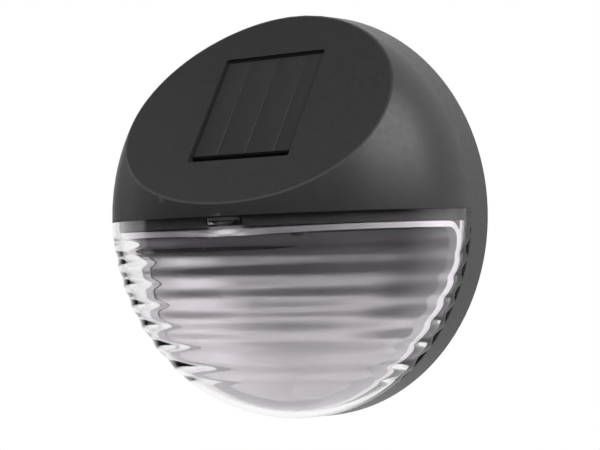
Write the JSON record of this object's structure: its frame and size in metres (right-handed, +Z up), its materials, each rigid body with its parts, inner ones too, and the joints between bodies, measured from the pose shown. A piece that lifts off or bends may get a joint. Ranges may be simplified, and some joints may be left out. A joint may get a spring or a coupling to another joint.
{
  "type": "fence light",
  "caption": "Round wall-mounted solar light: black domed body with a sloping solar panel above a clear ribbed half-dome lens.",
  "frame": {"origin": "centre of the flat back, on the wall plane", "axes": "+Y into the wall, +X to the right seen from the front, +Z up; the light faces -Y"},
  "size_m": [0.115, 0.0431, 0.115],
  "materials": {
    "housing_black": "fine satin grain",
    "back_black": "matt moulded",
    "lens_clear": "clear moulded plastic",
    "reflector_silver": "satin metallised plastic",
    "cell_dark": "dark silicon",
    "panel_resin": "clear resin",
    "panel_board": "dark laminate",
    "foam_pad": "foam tape",
    "seal_rubber": "soft rubber",
    "screw_steel": "zinc plated",
    "board_green": "solder mask",
    "led_clear": "clear epoxy",
    "lead_tin": "tinned",
    "chip_black": "moulded epoxy",
    "inductor_green": "lacquered",
    "switch_black": "moulded",
    "battery_sleeve": "shrink sleeve",
    "contact_nickel": "nickel plated",
    "wire_red": "PVC",
    "wire_black": "PVC"
  },
  "bodies": {
    "root": {"front_housing": "housing_black", "back_plate": "back_black", "back_seal": "seal_rubber", "case_screws": "screw_steel", "lens": "lens_clear", "lens_gasket": "seal_rubber", "reflector": "reflector_silver", "solar_board": "panel_board", "solar_cells": "cell_dark", "solar_cover": "panel_resin", "solar_pad": "foam_pad", "circuit_board": "board_green", "board_screws": "screw_steel", "led_left": "led_clear", "led_right": "led_clear", "led_leads": "lead_tin", "charge_chip": "chip_black", "inductor": "inductor_green", "switch_body": "switch_black", "battery_cell": "battery_sleeve", "battery_contact_positive": "contact_nickel", "battery_contact_negative": "contact_nickel", "battery_spring": "contact_nickel", "solar_wire_red": "wire_red", "solar_wire_black": "wire_black", "battery_wire_red": "wire_red", "battery_wire_black": "wire_black", "switch_wires": "wire_red"},
    "door": {"battery_door": "back_black", "door_seal": "seal_rubber", "door_screws": "screw_steel"},
    "slider": {"switch_slider": "switch_black"}
  },
  "joints": [
    {"name": "door_lift", "type": "slide", "parent": "root", "child": "door", "axis": [0, 1, 0], "range_m": [0, 0.03]},
    {"name": "switch_slide", "type": "slide", "parent": "root", "child": "slider", "axis": [1, 0, 0], "range_m": [0, 0.0024]}
  ]
}
